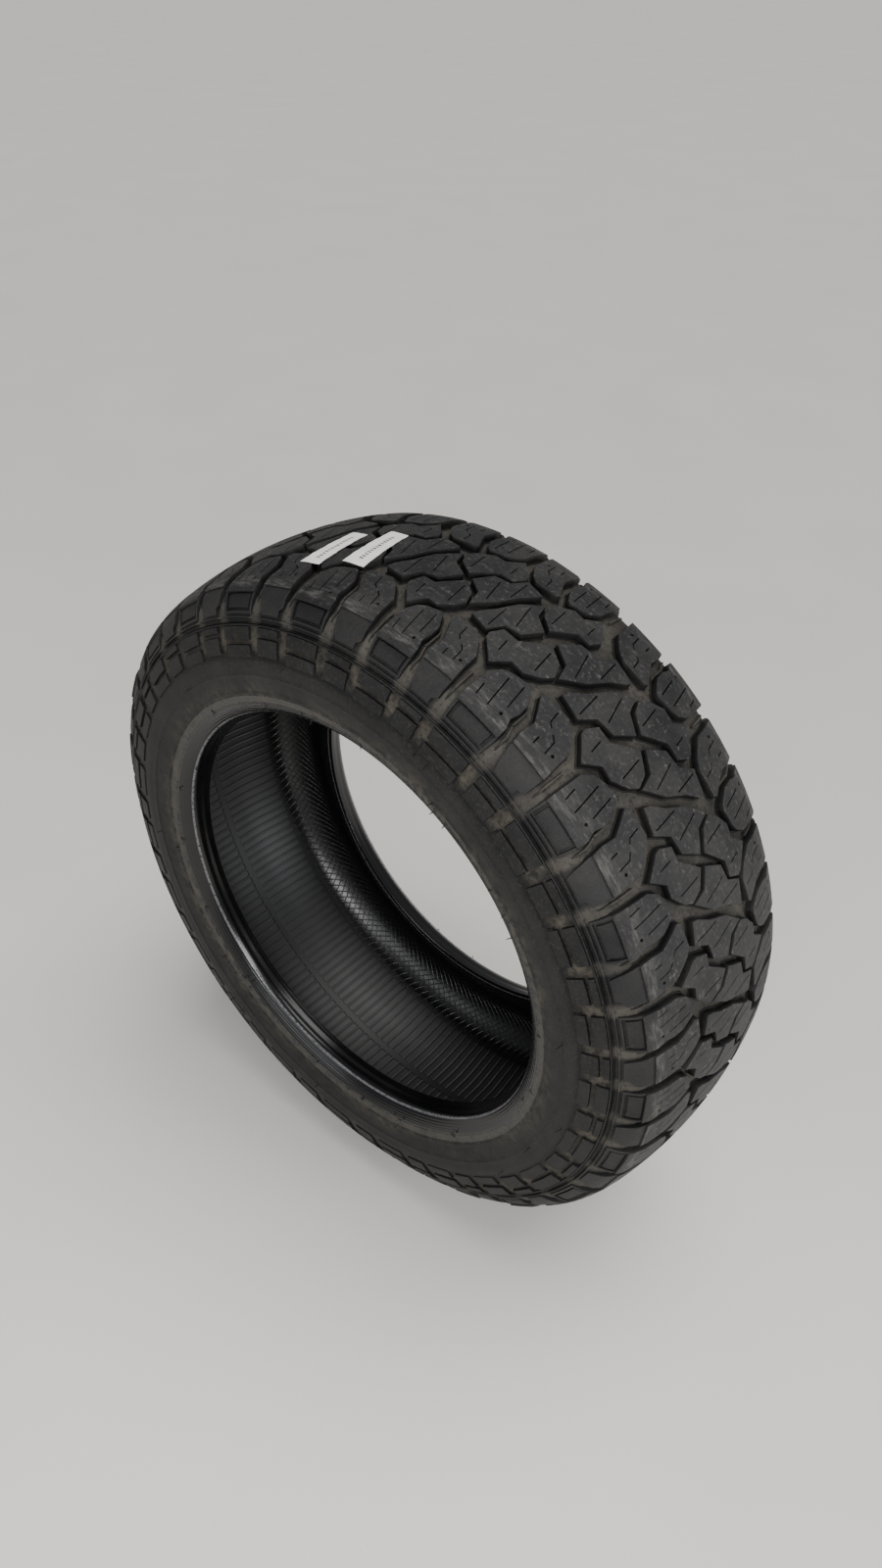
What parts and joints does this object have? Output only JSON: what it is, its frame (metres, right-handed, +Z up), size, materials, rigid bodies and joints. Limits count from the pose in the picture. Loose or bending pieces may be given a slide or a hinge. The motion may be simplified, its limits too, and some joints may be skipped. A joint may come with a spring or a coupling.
{
  "type": "light truck tyre",
  "caption": "Radial light-truck tyre with a rugged block tread, open through its rim bore, built up from separate plies, belts, beads, liner and rubber parts.",
  "frame": {"origin": "centre of the wheel: on the tyre's axis, midway between its two beads", "axes": "+Y along the tyre's axis, -Y being the side towards the viewer; +Z up, away from the flat the tyre stands on; +X to the side, by the right hand"},
  "size_m": [0.7997, 0.282, 0.7975],
  "materials": {
    "tread_rubber": "worn dusty tread rubber",
    "sidewall_rubber": "dusty sidewall rubber",
    "bead_rubber": "smooth polished rubber",
    "liner_rubber": "ribbed butyl rubber with a low sheen",
    "stiff_rubber": "matt compound",
    "nylon_cord": "rubberised nylon cord",
    "polyester_cord": "rubberised polyester cord",
    "belt_steel": "brass-coated steel cord",
    "bead_steel": "bronze-coated bead wire",
    "label_paper": "white coated paper label"
  },
  "bodies": {
    "root": {"tread": "tread_rubber", "sidewall_near": "sidewall_rubber", "sidewall_far": "sidewall_rubber", "chafer_near": "bead_rubber", "chafer_far": "bead_rubber", "inner_liner": "liner_rubber", "tread_base": "stiff_rubber", "cap_ply": "nylon_cord", "cap_strip_near": "nylon_cord", "cap_strip_far": "nylon_cord", "belt_upper": "belt_steel", "belt_lower": "belt_steel", "belt_wedge_near": "stiff_rubber", "belt_wedge_far": "stiff_rubber", "body_ply_outer": "polyester_cord", "body_ply_inner": "polyester_cord", "bead_filler_near": "stiff_rubber", "bead_filler_far": "stiff_rubber", "bead_core_near": "bead_steel", "bead_core_far": "bead_steel", "size_label_left": "label_paper", "size_label_right": "label_paper"}
  },
  "joints": []
}
